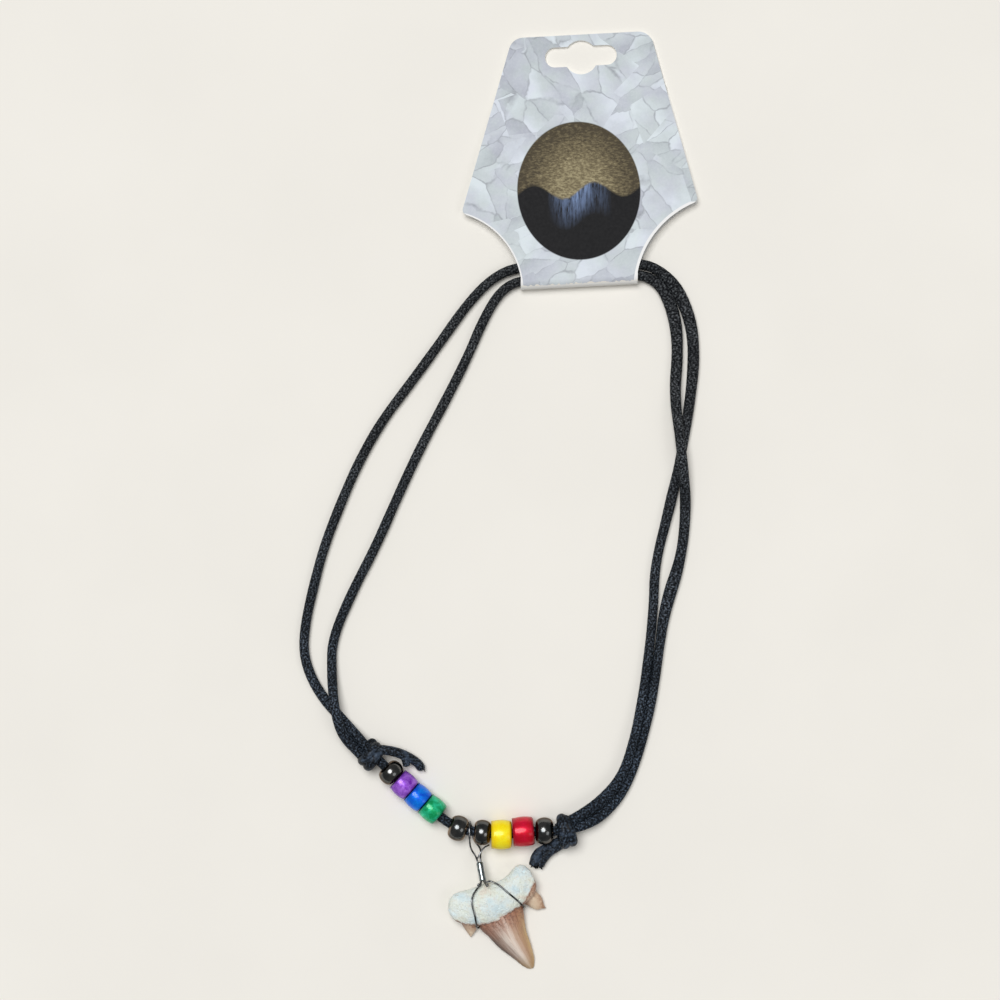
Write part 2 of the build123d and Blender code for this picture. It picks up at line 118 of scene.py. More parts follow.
# The cord through the beads, between the two knots
BEAD_CORD = [
    (-38.05, -63.08, 3.61), (-33.21, -68.14, 3.25), (-25.21, -75.34, 3.1), (-17.91, -81.59, 3.15),
    (-10.81, -82.99, 3.2), (-4.61, -83.29, 3.6), (1.89, -82.49, 3.6), (6.99, -82.59, 3.65),
    (10.18, -82.16, 3.67),
]

# The wire: over the bead cord, down through the crimp tube, round the tooth and back
WIRE = [
    (-11.18, -92.42, 4.31), (-11.78, -89.27, 3.54), (-13.45, -86.98, 4.18), (-13.75, -84.68, 4.98),
    (-13.8, -81.58, 5.03), (-13.65, -79.78, 3.18), (-13.45, -81.18, 1.13), (-12.8, -85.18, 0.88),
    (-10.8, -87.18, 1.98), (-11.19, -89.16, 3.54), (-10.0, -95.43, 5.08), (-8.65, -94.54, 5.12),
    (-6.48, -95.54, 5.9), (-4.18, -97.44, 6.8), (-1.92, -99.25, 6.57), (-0.3, -101.01, 5.57),
    (0.31, -101.71, 2.21), (-1.03, -101.95, 0.3), (-5.8, -103.65, 0.3), (-10.7, -106.25, 0.3),
    (-11.87, -107.17, 2.21), (-11.95, -106.25, 5.57), (-12.35, -103.23, 6.8), (-13.25, -100.2, 6.85),
    (-13.02, -98.09, 6.46), (-11.68, -96.24, 5.68), (-10.59, -95.55, 5.08), (-11.13, -92.71, 4.39),
]

# The wire's two cut ends at the crimp tube's lower end and the short end beside the loop
WIRE_CURL_LEFT = [
    (-10.85, -94.55, 5.6), (-11.1, -95.3, 6.4), (-11.55, -95.85, 6.65), (-11.75, -95.45, 6.7),
    (-11.35, -95.1, 6.65),
]
WIRE_CURL_RIGHT = [
    (-10.3, -94.55, 5.6), (-9.85, -95.2, 6.4), (-9.4, -95.9, 6.7), (-9.0, -95.55, 6.7),
    (-9.35, -95.15, 6.65),
]
WIRE_STUB = [
    (-11.75, -89.3, 4.0), (-11.0, -87.6, 3.8), (-10.0, -86.4, 3.5), (-8.8, -86.0, 3.0),
]
WIRE_D = 0.44 * MM
CUT_WIRE_D = 0.396 * MM

# The crimp tube's two ends, its diameter and its wall
CRIMP_ENDS = ((-10.435, -94.754, 4.9), (-11.283, -90.264, 3.8))
CRIMP_D = 1.7 * MM
CRIMP_WALL = 0.2 * MM

# The knots' free tails and the short spurs beside them
LEFT_TAIL = [
    (-38.01, -62.04, 4.4), (-35.01, -62.04, 4.3), (-31.41, -62.94, 3.4), (-28.21, -64.54, 2.2),
    (-26.11, -66.24, 1.4), (-25.71, -67.64, 1.25),
]
LEFT_SPUR = [
    (-30.31, -63.64, 3.2), (-29.71, -65.04, 3.1), (-29.41, -66.54, 3.0),
]
RIGHT_TAIL = [
    (11.29, -84.64, 3.2), (8.99, -86.14, 2.0), (4.89, -88.54, 1.25), (3.49, -91.64, 1.2),
]
RIGHT_SPUR = [
    (9.19, -85.04, 2.4), (4.99, -87.14, 1.2), (2.59, -88.74, 1.2), (2.19, -91.54, 1.25),
]

# Each knot's middle, the cord's direction in it, its turns' slant, how far they reach to the
# side and up, how many they are, how far apart at the side and where they start. The turns
# lie closer together on the side away from the tail, by the gather's share.
LEFT_KNOT = {
    "centre": (-38.35, -63.4, 3.85),
    "along": (0.65, -0.76, 0.0),
    "slant": (0.84, -0.54, 0.0),
    "reach": (2.45 * MM, 2.35 * MM),
    "turns": 1.9, "pitch": 1.9 * MM, "start": 3.4, "gather": 0.75,
}
RIGHT_KNOT = {
    "centre": (10.15, -82.32, 3.88),
    "along": (0.98, 0.19, 0.0),
    "slant": (0.955, 0.295, 0.0),
    "reach": (3.15 * MM, 2.4 * MM),
    "turns": 1.85, "pitch": 1.95 * MM, "start": 4.0, "gather": 0.45,
}

# Each metal bead's direction in the plane, in degrees, its diameter, its length and how far it
# lies from its solid's middle, in millimetres
METAL_BORE = 3.1 * MM
METAL_BEADS = {
    "metal_bead_1": (-46.0, 6.3, 4.2, (0.0, 0.6, 0.0)),
    "metal_bead_2": (-17.8, 6.3, 4.4, (-0.2, 0.4, 0.0)),
    "metal_bead_3": (-5.3, 6.3, 4.2, (0.1, 0.3, 0.0)),
    "metal_bead_4": (0.56, 6.8, 4.5, (0.0, 0.4, 0.0)),
}
# The same of each barrel bead, with its rims' width before the last
BARREL_BORE = 3.2 * MM
BARREL_BEADS = {
    "purple_bead": (-42.0, 6.35, 4.5, 0.5, (0.0, 0.6, 0.0)),
    "blue_bead": (-41.4, 6.3, 4.4, 0.45, (0.0, 0.6, 0.1)),
    "green_bead": (-40.2, 6.4, 4.75, 0.6, (0.0, 0.7, 0.15)),
    "yellow_bead": (0.3, 7.4, 5.1, 0.8, (0.0, 0.0, 0.0)),
    "red_bead": (4.3, 7.5, 5.35, 0.75, (0.0, 0.5, 0.1)),
}

# The tooth's own frame and the size of its faces
TOOTH_AT = (-6.014, -103.742, 0.0)
TOOTH_TILT = math.radians(22.9)
TOOTH_FACE = 0.17 * MM
# From here to the cusplets' end, all lengths on the tooth are in millimetres, across and up in
# its own frame. Where the root gives way to enamel, and over what width
ENAMEL_LINE = [
    (-12.0, 4.6), (-9.9, 2.9), (-8.3, 1.3), (-6.3, 0.6), (-3.5, -0.3), (-1.2, -0.5), (0.7, 0.05),
    (2.6, 0.1), (4.1, 0.55), (6.0, 0.6), (8.0, 2.0), (9.6, 3.3), (10.6, 4.2), (12.0, 5.4),
]
ENAMEL_BLEND = 1.6
# The crown's length, and its left and right edges at some shares of it
CROWN_LENGTH = 15.6
CROWN_DOWN = [0.0, 0.2, 0.43, 0.62, 0.81, 0.96]
CROWN_LEFT = [-6.1, -4.5, -3.2, -1.8, -0.3, 1.0]
CROWN_RIGHT = [6.1, 5.2, 4.5, 4.2, 3.8, 2.9]
# How far the crown's left edge bows out, at some shares of its length
BOW_DOWN = [0.0, 0.12, 0.5, 0.85, 1.0]
BOW = [0.2, 0.75, 0.6, 0.35, 0.1]
# Inner end, middle and half width of each cusplet, left and right, their length, and the level
# that the left one ends at
CUSPLETS = ((-6.4, -8.2, 1.9), (6.3, 8.7, 2.5))
CUSPLET_LENGTH = 5.0
CUSPLET_FOOT = -3.0
# Where the right cusplet is fuller than its solid: the place, how far round it and which way
CUSPLET_SWELLS = [
    ((10.7, 0.3), 2.0, (0.6, 0.0)),
    ((8.9, -1.5), 1.7, (-0.25, -0.65)),
]

# The card's own frame and height, the levels that its back lies under and its front above, how
# far the back lies aside, how small its faces are cut and how wide its cut edges are broken
CARD_AT = (13.586, 53.358, 0.0)
CARD_TURN = math.radians(3.0)
CARD_HEIGHT = 63.0 * MM
BACK_LEVEL = 0.6 * MM
FRONT_LEVEL = 0.7 * MM
BACK_SHIFT = 0.55 * MM
CARD_FACE = 2.0 * MM
BROKEN_EDGE = 0.16 * MM
# The circles of the hollows beside its waist, left and right: centre, radius and the width of
# bare paper along each, in millimetres
CARD_HOLLOWS = ((-34.54, 0.47, 20.28, 0.28), (37.92, -3.03, 23.91, 0.6))
# The medallion's middle, across and up from the card's fold, and half its width and height, in
# millimetres
MEDALLION_AT = (1.2, 24.0)
MEDALLION_HALF = (15.5, 17.5)


# Shader helpers


class Look:
    """A material whose nodes are added by short calls."""

    def __init__(self, name):
        self.material = bpy.data.materials.new(name)
        self.material.use_nodes = True
        self.tree = self.material.node_tree
        self.tree.nodes.clear()
        output = self.tree.nodes.new("ShaderNodeOutputMaterial")
        self.surface = self.tree.nodes.new("ShaderNodeBsdfPrincipled")
        self.tree.links.new(self.surface.outputs["BSDF"], output.inputs["Surface"])

    def fill(self, socket, value):
        """A socket takes a link, a number or a colour."""
        if isinstance(value, bpy.types.NodeSocket):
            self.tree.links.new(value, socket)
        elif socket.type == "RGBA":
            socket.default_value = (*value, 1.0)
        else:
            socket.default_value = value

    def node(self, kind, values=None, **settings):
        made = self.tree.nodes.new("ShaderNode" + kind)
        for key, value in settings.items():
            setattr(made, key, value)
        for key, value in (values or {}).items():
            self.fill(made.inputs[key], value)
        return made

    def set(self, **values):
        for key, value in values.items():
            self.fill(self.surface.inputs[key.replace("_", " ")], value)

    def scaled(self, vector, scale):
        return self.node("Mapping", {"Vector": vector, "Scale": scale}).outputs["Vector"]

    def object_mm(self, stretch=(1, 1, 1)):
        """The place on the object in millimetres, stretched along its axes."""
        place = self.node("TexCoord").outputs["Object"]
        return self.scaled(place, tuple(1000 * s for s in stretch))

    def noise(self, vector, scale, detail=3.0, roughness=0.55, distortion=0.0):
        values = {"Vector": vector, "Scale": scale, "Detail": detail, "Roughness": roughness}
        return self.node("TexNoise", {**values, "Distortion": distortion}).outputs["Fac"]

    def ramp(self, value, stops):
        """Colours from 0 to 255 at their places along a value."""
        made = self.node("ValToRGB", {"Fac": value})
        elements = made.color_ramp.elements
        while len(elements) < len(stops):
            elements.new(0.5)
        for element, (place, colour) in zip(elements, stops):
            element.position = place
            element.color = (*srgb(*colour), 1.0)
        return made.outputs["Color"]

    def span(self, value, low, high, to_low=0.0, to_high=1.0):
        """A value that runs from low to high, made to run between two others and kept there."""
        values = {"Value": value, "From Min": low, "From Max": high}
        values.update({"To Min": to_low, "To Max": to_high})
        return self.node("MapRange", values, clamp=True).outputs["Result"]

    def maths(self, operation, first, second=0.0, third=0.0):
        values = {0: first, 1: second, 2: third}
        return self.node("Math", values, operation=operation).outputs["Value"]

    def times(self, first, second):
        return self.maths("MULTIPLY", first, second)

    def plus(self, first, second):
        return self.maths("ADD", first, second)

    def less(self, first, second):
        return self.maths("SUBTRACT", first, second)

    def reach(self, first, second):
        """The distance that two level distances make."""
        squares = [self.maths("POWER", value, 2.0) for value in (first, second)]
        return self.maths("SQRT", self.plus(*squares))

    def vector(self, operation, first, second, output="Vector"):
        values = {0: first, 1: second}
        return self.node("VectorMath", values, operation=operation).outputs[output]

    def axis(self, vector, name):
        return self.node("SeparateXYZ", {"Vector": vector}).outputs[name]

    def channel(self, colour, name):
        return self.node("SeparateColor", {"Color": colour}).outputs[name]

    def blend(self, share, first, second):
        # the colour form's sockets are 0, 6 and 7
        return self.node("Mix", {0: share, 6: first, 7: second}, data_type="RGBA").outputs[2]

    def attribute(self, name):
        return self.node("Attribute", attribute_name=name).outputs["Fac"]

    def bump(self, height, distance, strength=1.0):
        values = {"Height": height, "Distance": distance, "Strength": strength}
        return self.node("Bump", values).outputs["Normal"]


def metres(place):
    """A place that is given in millimetres."""
    return Vector([value * MM for value in place])


def srgb(red, green, blue):
    """A colour given from 0 to 255, as the shader takes it."""
    def linear(value):
        value /= 255.0
        return value / 12.92 if value <= 0.04045 else ((value + 0.055) / 1.055) ** 2.4

    return (linear(red), linear(green), linear(blue))


# Materials


def cord_look(name, crown_highlight, sheen, roughness, spot_highlight):
    """Woven black cord: how strongly the painted highlights on its yarns' crowns show, its gloss,
    its roughness and how strong the painted highlight spots on its high places are."""
    look = Look(name)
    place = look.node("UVMap", uv_map="UVMap").outputs["UV"]
    body = look.object_mm()
    crown = look.attribute("crown")
    fine = look.noise(look.scaled(place, (9.0, 9.0, 1.0)), 1.0, 2.0)
    speck = look.noise(place, 2.0, 1.5, 0.5)
    worn = look.noise(body, 0.16, 2.0)
    # painted highlight: lighter specks on the yarns' crowns, their strength varied in broad patches
    # by the worn noise, bluer towards the beads
    painted_crown_light = look.times(look.span(speck, 0.44, 0.66), look.span(crown, 0.3, 0.9))
    painted_crown_light = look.times(painted_crown_light, look.span(worn, 0.35, 0.65, 0.5 * crown_highlight, crown_highlight))
    near_beads = look.span(look.axis(body, "Y"), -75.0, 20.0, 1.0, 0.0)
    base = look.blend(look.span(fine, 0.35, 0.7), srgb(4, 5, 6), srgb(20, 23, 27))
    tint = look.blend(near_beads, srgb(112, 116, 120), srgb(96, 112, 132))
    colour = look.blend(painted_crown_light, base, tint)
    # painted highlight: broad bluish spots on the cord's high places
    painted_spots = look.span(look.noise(body, 0.5, 1.0), 0.48, 0.66)
    painted_spots = look.times(painted_spots, look.span(crown, 0.1, 0.7))
    colour = look.blend(look.times(painted_spots, spot_highlight), colour, srgb(84, 100, 122))
    look.set(Base_Color=colour, Specular_IOR_Level=sheen)
    look.set(Roughness=look.span(fine, 0.3, 0.7, roughness, roughness + 0.18))
    look.set(Normal=look.bump(fine, 0.00004, 0.6))
    return look.material


def metal_look():
    """Black chrome, brownish where it is seen edge-on and worn to copper round its mouths."""
    look = Look("black_chrome")
    cloud = look.noise(look.object_mm(), 0.5, 2.0)
    scratch = look.noise(look.object_mm((1.0, 6.0, 1.0)), 2.2, 3.0, 0.6)
    cloud = look.span(cloud, 0.35, 0.65)
    colour = look.blend(cloud, (0.074, 0.083, 0.087), (0.15, 0.149, 0.147))
    worn = look.times(look.attribute("rim"), look.span(scratch, 0.35, 0.6, 0.3, 1.0))
    look.set(Base_Color=look.blend(worn, colour, (0.5, 0.37, 0.27)), Metallic=1.0)
    look.set(Specular_Tint=(0.62, 0.5, 0.42))
    look.set(Roughness=look.span(scratch, 0.3, 0.75, 0.13, 0.2))
    look.set(Normal=look.bump(scratch, 0.000012, 0.35))
    return look.material


def steel_look(name, cloud_scale, cloud_start, dark, pale, grain_scale, smooth, rough):
    """Steel with darker and paler clouds."""
    look = Look(name)
    place = look.object_mm()
    cloud = look.span(look.noise(place, cloud_scale, 2.0), cloud_start, 0.65)
    look.set(Base_Color=look.blend(cloud, dark, pale), Metallic=1.0)
    grain = look.noise(place, grain_scale, 2.0)
    look.set(Roughness=look.span(grain, 0.3, 0.7, smooth, rough))
    return look.material


def plastic_look(name, pearl, deep, body, pale):
    """A pearly barrel bead: a body colour with faint swirls and glitter, and painted shade that
    deepens it towards the rims.
    """
    deep, body, pale = (srgb(*colour) for colour in (deep, body, pale))
    look = Look(name)
    place = look.object_mm()
    swirl = look.noise(place, 0.55, 3.0, 0.6, 0.6)
    grain = look.noise(place, 4.5, 3.0, 0.7)
    colour = look.blend(look.span(swirl, 0.35, 0.68), body, pale)
    # painted shade: the deep colour darkens the bead towards its rims and round ends
    colour = look.blend(look.span(look.attribute("rim"), 0.1, 0.95, 0.0, 0.85), colour, deep)
    colour = look.blend(look.span(grain, 0.5, 0.32, 0.0, 0.55), colour, deep)
    colour = look.blend(look.span(grain, 0.6, 0.7, 0.0, 0.5), colour, pale)
    look.set(Base_Color=colour, Metallic=pearl, Specular_IOR_Level=0.15)
    look.set(Coat_Weight=0.5, Coat_Roughness=0.12)
    look.set(Roughness=look.span(grain, 0.3, 0.7, 0.34, 0.46))
    look.set(Normal=look.bump(look.noise(place, 1.3, 2.0), 0.00003, 0.3))
    return look.material


def tooth_look():
    """A chalky root and a streaked enamel crown. The mesh says how far each point is into the
    enamel, how far down and across its crown, and whether it is on a cusplet."""
    look = Look("fossil_tooth")
    place = look.object_mm()
    enamel = look.attribute("enamel")
    down = look.attribute("down")
    across = look.attribute("across")
    ragged = look.noise(place, 1.1)
    edge = look.plus(enamel, look.span(ragged, 0.3, 0.7, -0.16, 0.16))
    mask = look.span(edge, 0.46, 0.54)

    # the root: chalky cream with cool and pink clouds and small darker flecks
    root = look.ramp(look.noise(place, 0.26, 3.0, 0.6), [
        (0.28, (222, 243, 250)), (0.4, (234, 250, 252)), (0.5, (243, 252, 248)),
        (0.6, (243, 250, 238)), (0.72, (244, 238, 224)),
    ])
    blush = look.span(look.noise(place, 0.9, 4.0, 0.7), 0.55, 0.72, 0.0, 0.4)
    root = look.blend(blush, root, srgb(232, 204, 182))
    pink = look.times(look.span(enamel, 0.16, 0.46), look.span(ragged, 0.4, 0.6, 0.25, 0.95))
    root = look.blend(pink, root, srgb(218, 182, 162))
    dark_flecks = look.noise(place, 2.3, 3.0, 0.65)
    root = look.blend(look.span(dark_flecks, 0.6, 0.72, 0.0, 0.6), root, srgb(156, 140, 118))

    # the enamel: brown at the root's edge and sides, a pale streak down the middle, a tan tip
    laid = look.node("CombineXYZ", {"X": across, "Y": down}).outputs["Vector"]
    streak = look.noise(look.scaled(laid, (6.0, 1.1, 1.0)), 1.0, 4.0, 0.65)
    thin = look.noise(look.scaled(laid, (13.0, 3.4, 1.0)), 1.0, 4.0, 0.7, 0.9)
    side = look.plus(across, look.span(streak, 0.3, 0.7, -0.2, 0.2))
    flank = look.ramp(look.span(side, -1.0, 1.0), [
        (0.0, (64, 46, 38)), (0.08, (98, 74, 62)), (0.17, (156, 134, 122)),
        (0.32, (210, 197, 186)), (0.46, (234, 218, 205)), (0.6, (202, 172, 150)),
        (0.78, (184, 146, 116)), (1.0, (206, 174, 126)),
    ])
    flank = look.blend(look.span(thin, 0.5, 0.68, 0.0, 0.34), flank, srgb(150, 112, 88))
    cracks = look.noise(place, 1.5, 4.0, 0.7)

    def near_root(far, share):
        """A share that fades out a part of the way down the crown."""
        return look.times(look.span(down, 0.0, far, 1.0, 0.0), share)

    collar = near_root(0.36, look.span(streak, 0.32, 0.6, 0.35, 1.0))
    crown = look.blend(collar, flank, srgb(178, 122, 98))
    dark = near_root(0.42, look.span(thin, 0.44, 0.64, 0.0, 0.62))
    crown = look.blend(dark, crown, srgb(104, 66, 50))
    chip = near_root(0.26, look.span(cracks, 0.5, 0.62, 0.0, 0.9))
    crown = look.blend(chip, crown, srgb(88, 56, 44))
    crown = look.blend(look.span(down, 0.7, 1.0, 0.0, 0.75), crown, srgb(178, 148, 102))

    # the cusplets: dark edges, brown cracks near the root, golden towards the tip
    uneven = look.plus(across, look.span(cracks, 0.3, 0.7, -0.25, 0.25))
    small = look.ramp(look.span(uneven, -1.0, 1.0), [
        (0.0, (104, 80, 66)), (0.14, (172, 142, 120)), (0.42, (226, 206, 180)),
        (0.7, (214, 186, 158)), (0.9, (176, 138, 112)), (1.0, (122, 92, 70)),
    ])
    split = look.times(
        look.span(down, 0.05, 0.5, 1.0, 0.0), look.span(cracks, 0.42, 0.58, 0.25, 1.0)
    )
    small = look.blend(split, small, srgb(150, 100, 82))
    crown = look.blend(look.attribute("cusp"), crown, small)

    look.set(Base_Color=look.blend(mask, root, crown))
    rough = look.span(look.noise(place, 1.8), 0.3, 0.7, -0.05, 0.06)
    look.set(Roughness=look.plus(look.span(mask, 0.0, 1.0, 0.78, 0.3), rough))
    look.set(Coat_Weight=0.12, Coat_Roughness=0.25)
    chalk = look.times(look.noise(place, 3.0, 6.0, 0.7), look.span(mask, 0.0, 1.0, 1.0, 0.1))
    grain = look.maths("MULTIPLY_ADD", look.times(thin, mask), 0.22, chalk)
    look.set(Normal=look.bump(grain, 0.0004))
    return look.material


def card_look():
    """Pale marbled card with white paper edges, an empty title place and a plain medallion."""
    look = Look("printed_card")
    place = look.object_mm()
    warp = look.node("TexNoise", {"Vector": place, "Scale": 0.13, "Detail": 3.0, "Roughness": 0.55})

    def shards(turn, stretch, scale, shift):
        """Flat flakes, each with its own tone and slope, and how near each point is to a
        flake's edge."""
        laid = look.node("Mapping", {
            "Vector": place,
            "Rotation": (0.0, 0.0, turn),
            "Location": (shift, 2.0 * shift, 0.0),
        }).outputs["Vector"]
        laid = look.vector("MULTIPLY", laid, (1.0, stretch, 0.0))
        bend = look.vector("MULTIPLY", warp.outputs["Color"], (8.0, 8.0, 0.0))
        flat = look.vector("MULTIPLY", look.vector("ADD", laid, bend), (1.0, 1.0, 0.0))
        cells = {"Vector": flat, "Scale": scale}
        flake = look.node("TexVoronoi", cells).outputs
        edge = look.node("TexVoronoi", cells, feature="DISTANCE_TO_EDGE").outputs["Distance"]
        away = look.vector("SUBTRACT", flat, flake["Position"])
        lean = look.vector("SUBTRACT", flake["Color"], (0.5, 0.5, 0.5))
        slope = look.vector("DOT_PRODUCT", away, lean, "Value")
        tone = look.span(look.channel(flake["Color"], "Blue"), 0.0, 1.0, 0.12, 0.88)
        return look.maths("MULTIPLY_ADD", slope, 0.13, tone), edge

    # two layers of flakes, chosen by patches
    one = shards(0.95, 2.0, 0.092, 3.0)
    two = shards(-0.5, 2.3, 0.112, 17.0)
    patch = look.node("TexVoronoi", {"Vector": place, "Scale": 0.085})
    over = look.span(look.channel(patch.outputs["Color"], "Green"), 0.49, 0.51)
    tone, edge = [
        look.plus(first, look.times(over, look.less(second, first)))
        for first, second in zip(one, two)
    ]
    cloud = look.noise(place, 0.3, 4.0, 0.65)
    colour = look.ramp(look.plus(tone, look.span(cloud, 0.3, 0.7, -0.14, 0.14)), [
        (0.0, (176, 182, 190)), (0.3, (191, 198, 205)), (0.55, (200, 207, 213)),
        (0.75, (208, 216, 223)), (1.0, (222, 230, 238)),
    ])
    tint = look.span(look.noise(place, 0.16, 2.0), 0.4, 0.6)
    colour = look.blend(0.14, colour, look.blend(tint, srgb(190, 184, 214), srgb(196, 216, 200)))
    broken = look.span(look.noise(place, 0.22), 0.38, 0.62, 0.08, 0.75)
    rim = look.times(look.span(edge, 0.0, 0.04, 1.0, 0.0), broken)
    colour = look.blend(rim, colour, srgb(140, 144, 152))
    fine = look.noise(place, 1.6, 4.0, 0.7)
    colour = look.blend(look.span(fine, 0.4, 0.75, 0.0, 0.22), colour, srgb(232, 236, 240))

    # the medallion: brown above and near black below a wavy line, with a cool glint
    turn = {"Vector": place, "Rotation": (0.0, 0.0, -CARD_TURN)}
    own = look.node("Mapping", turn).outputs["Vector"]
    middle = Matrix.Rotation(-CARD_TURN, 3, "Z") @ (metres(CARD_AT) / MM)
    side = look.less(look.axis(own, "X"), middle.x + MEDALLION_AT[0])
    up = look.less(look.axis(own, "Y"), middle.y + MEDALLION_AT[1])
    half_width, half_height = MEDALLION_HALF
    from_middle = look.reach(
        look.maths("DIVIDE", side, half_width), look.maths("DIVIDE", up, half_height)
    )
    disc = look.span(from_middle, 0.985, 1.0, 1.0, 0.0)
    line = look.less(up, look.times(look.maths("SINE", look.times(side, 0.42)), 1.9))
    speck = look.noise(look.scaled(place, (0.7, 1.5, 1.0)), 1.5, 6.0, 0.7)
    earth = look.ramp(look.plus(speck, look.span(from_middle, 0.35, 1.0, 0.05, -0.22)), [
        (0.3, (70, 62, 46)),
        (0.5, (120, 109, 82)),
        (0.66, (166, 155, 122)),
    ])
    threads = look.noise(look.scaled(place, (1.6, 0.22, 1.0)), 0.9, 4.0, 0.7)
    centred = look.span(look.maths("ABSOLUTE", side), 1.0, 8.0, 1.0, 0.0)
    glint = look.times(look.span(line, -8.0, -0.5, 0.0, 1.0), centred)
    glint = look.times(glint, look.span(threads, 0.35, 0.6))
    deep = look.blend(glint, srgb(15, 15, 18), srgb(124, 146, 186))
    colour = look.blend(disc, colour, look.blend(look.span(line, -0.35, 0.35), deep, earth))

    # bare paper along the two hollows beside the waist and at the fold
    own_x = look.less(look.axis(own, "X"), middle.x)
    own_y = look.less(look.axis(own, "Y"), middle.y)
    below = look.span(own_y, 19.6, 19.9, 1.0, 0.0)
    for centre_x, centre_y, radius, width in CARD_HOLLOWS:
        off = look.reach(look.less(own_x, centre_x), look.less(own_y, centre_y))
        bare = look.span(off, radius + width, radius + width + 0.12, 1.0, 0.0)
        colour = look.blend(look.times(bare, below), colour, srgb(240, 240, 240))
    worn = look.span(look.noise(place, 0.8), 0.35, 0.65, -0.3, 0.3)
    bare = look.span(look.plus(own_y, worn), 0.75, 0.9, 1.0, 0.0)
    colour = look.blend(bare, colour, srgb(240, 236, 226))
    colour = look.blend(look.attribute("printed"), srgb(236, 236, 234), colour)
    look.set(Base_Color=colour, Specular_IOR_Level=0.15)
    look.set(Roughness=look.span(fine, 0.3, 0.7, 0.5, 0.62))
    look.set(Normal=look.bump(look.noise(place, 0.6, 4.0), 0.00006, 0.25))
    return look.material


def surface_look():
    look = Look("pale_surface")
    cloud = look.span(look.noise(look.object_mm(), 0.02, 3.0), 0.3, 0.7)
    colour = look.blend(cloud, srgb(238, 235, 228), srgb(241, 238, 231))
    look.set(Base_Color=colour, Roughness=0.9)
    return look.material


# Shapes


def placed(name, data, place=(0.0, 0.0, 0.0)):
    """A new object in the scene."""
    thing = bpy.data.objects.new(name, data)
    thing.location = place
    bpy.context.scene.collection.objects.link(thing)
    return thing


def mark(mesh, name, values, domain="POINT"):
    """A number for each point or face, which a material can read."""
    layer = mesh.attributes.new(name, "FLOAT", domain)
    layer.data.foreach_set("value", np.asarray(values, np.float32).reshape(-1))


def new_piece(name, mesh, look, nodes, smooth=True):
    """A piece of the object in place of some of its solids."""
    piece = placed(name, mesh)
    mesh.materials.clear()
    mesh.materials.append(look)
    if smooth:
        mesh.polygons.foreach_set("use_smooth", [True] * len(mesh.polygons))
    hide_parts(*nodes)
    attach(piece, "root")
    return piece


def spline_points(route):
    """The smooth line that a route's points control."""
    curve = bpy.data.curves.new("route", "CURVE")
    curve.dimensions = "3D"
    curve.resolution_u = 32
    spline = curve.splines.new("NURBS")
    spline.points.add(len(route) - 1)
    for point, place in zip(spline.points, route):
        point.co = (*metres(place), 1.0)
    spline.order_u = 3
    spline.use_endpoint_u = True
    holder = bpy.data.objects.new("route", curve)
    mesh = bpy.data.meshes.new_from_object(holder)
    points = [v.co.copy() for v in mesh.vertices]
    bpy.data.objects.remove(holder)
    bpy.data.curves.remove(curve)
    bpy.data.meshes.remove(mesh)
    return points


def evenly(points, step):
    """The same line with its points a step apart."""
    line = np.array([tuple(p) for p in points])
    gaps = np.linalg.norm(np.diff(line, axis=0), axis=1)
    along = np.concatenate(([0.0], np.cumsum(gaps)))
    count = max(4, int(round(along[-1] / step)))
    stations = np.linspace(0.0, along[-1], count + 1)
    return np.stack([np.interp(stations, along, line[:, k]) for k in range(3)], axis=1), stations


def carried_frames(line):
    """Two directions square to the line at each point, carried along it without twist."""
    ahead = np.gradient(line, axis=0)
    ahead /= np.linalg.norm(ahead, axis=1)[:, None]
    first = np.cross(ahead[0], (0.0, 0.0, 1.0))
    sides = np.zeros_like(line)
    sides[0] = first / np.linalg.norm(first)
    for i in range(1, len(line)):
        side = sides[i - 1] - ahead[i] * np.dot(sides[i - 1], ahead[i])
        sides[i] = side / np.linalg.norm(side)
    return sides, np.cross(ahead, sides)


def rings_round(line, radius, turn):
    """How far each point of a tube's rings is from the line, with a radius for each."""
    across, upward = carried_frames(line)
    return (
        across[:, None, :] * (np.cos(turn)[None, :] * radius)[:, :, None]
        + upward[:, None, :] * (np.sin(turn)[None, :] * radius)[:, :, None]
    )


def tube_mesh(name, places, sides):
    """A closed tube through rings of points."""
    rings = len(places) // sides
    faces = []
    for i in range(rings - 1):
        for j in range(sides):
            k = (j + 1) % sides
            faces.append((i * sides + j, i * sides + k, (i + 1) * sides + k, (i + 1) * sides + j))
    faces.append(tuple(range(sides - 1, -1, -1)))
    faces.append(tuple((rings - 1) * sides + j for j in range(sides)))
    mesh = bpy.data.meshes.new(name)
    mesh.from_pydata(places.tolist(), [], faces)
    return mesh


def braid_height(around, along):
    """The weave's height, from 0 to 1, where two sets of yarns cross over and under."""
    one = around + along
    other = around - along
    over = (np.floor(one) + np.floor(other)) % 2 < 1
    across = np.where(over, one, other) % 1.0
    onward = np.where(over, other, one) % 1.0
    bump = np.sqrt(np.clip(1.0 - (2.0 * across - 1.0) ** 2, 0.0, 1.0))
    rise = np.sin(np.pi * onward)
    return np.clip(0.25 + 0.75 * bump * (0.35 + 0.65 * rise), 0.0, 1.0)


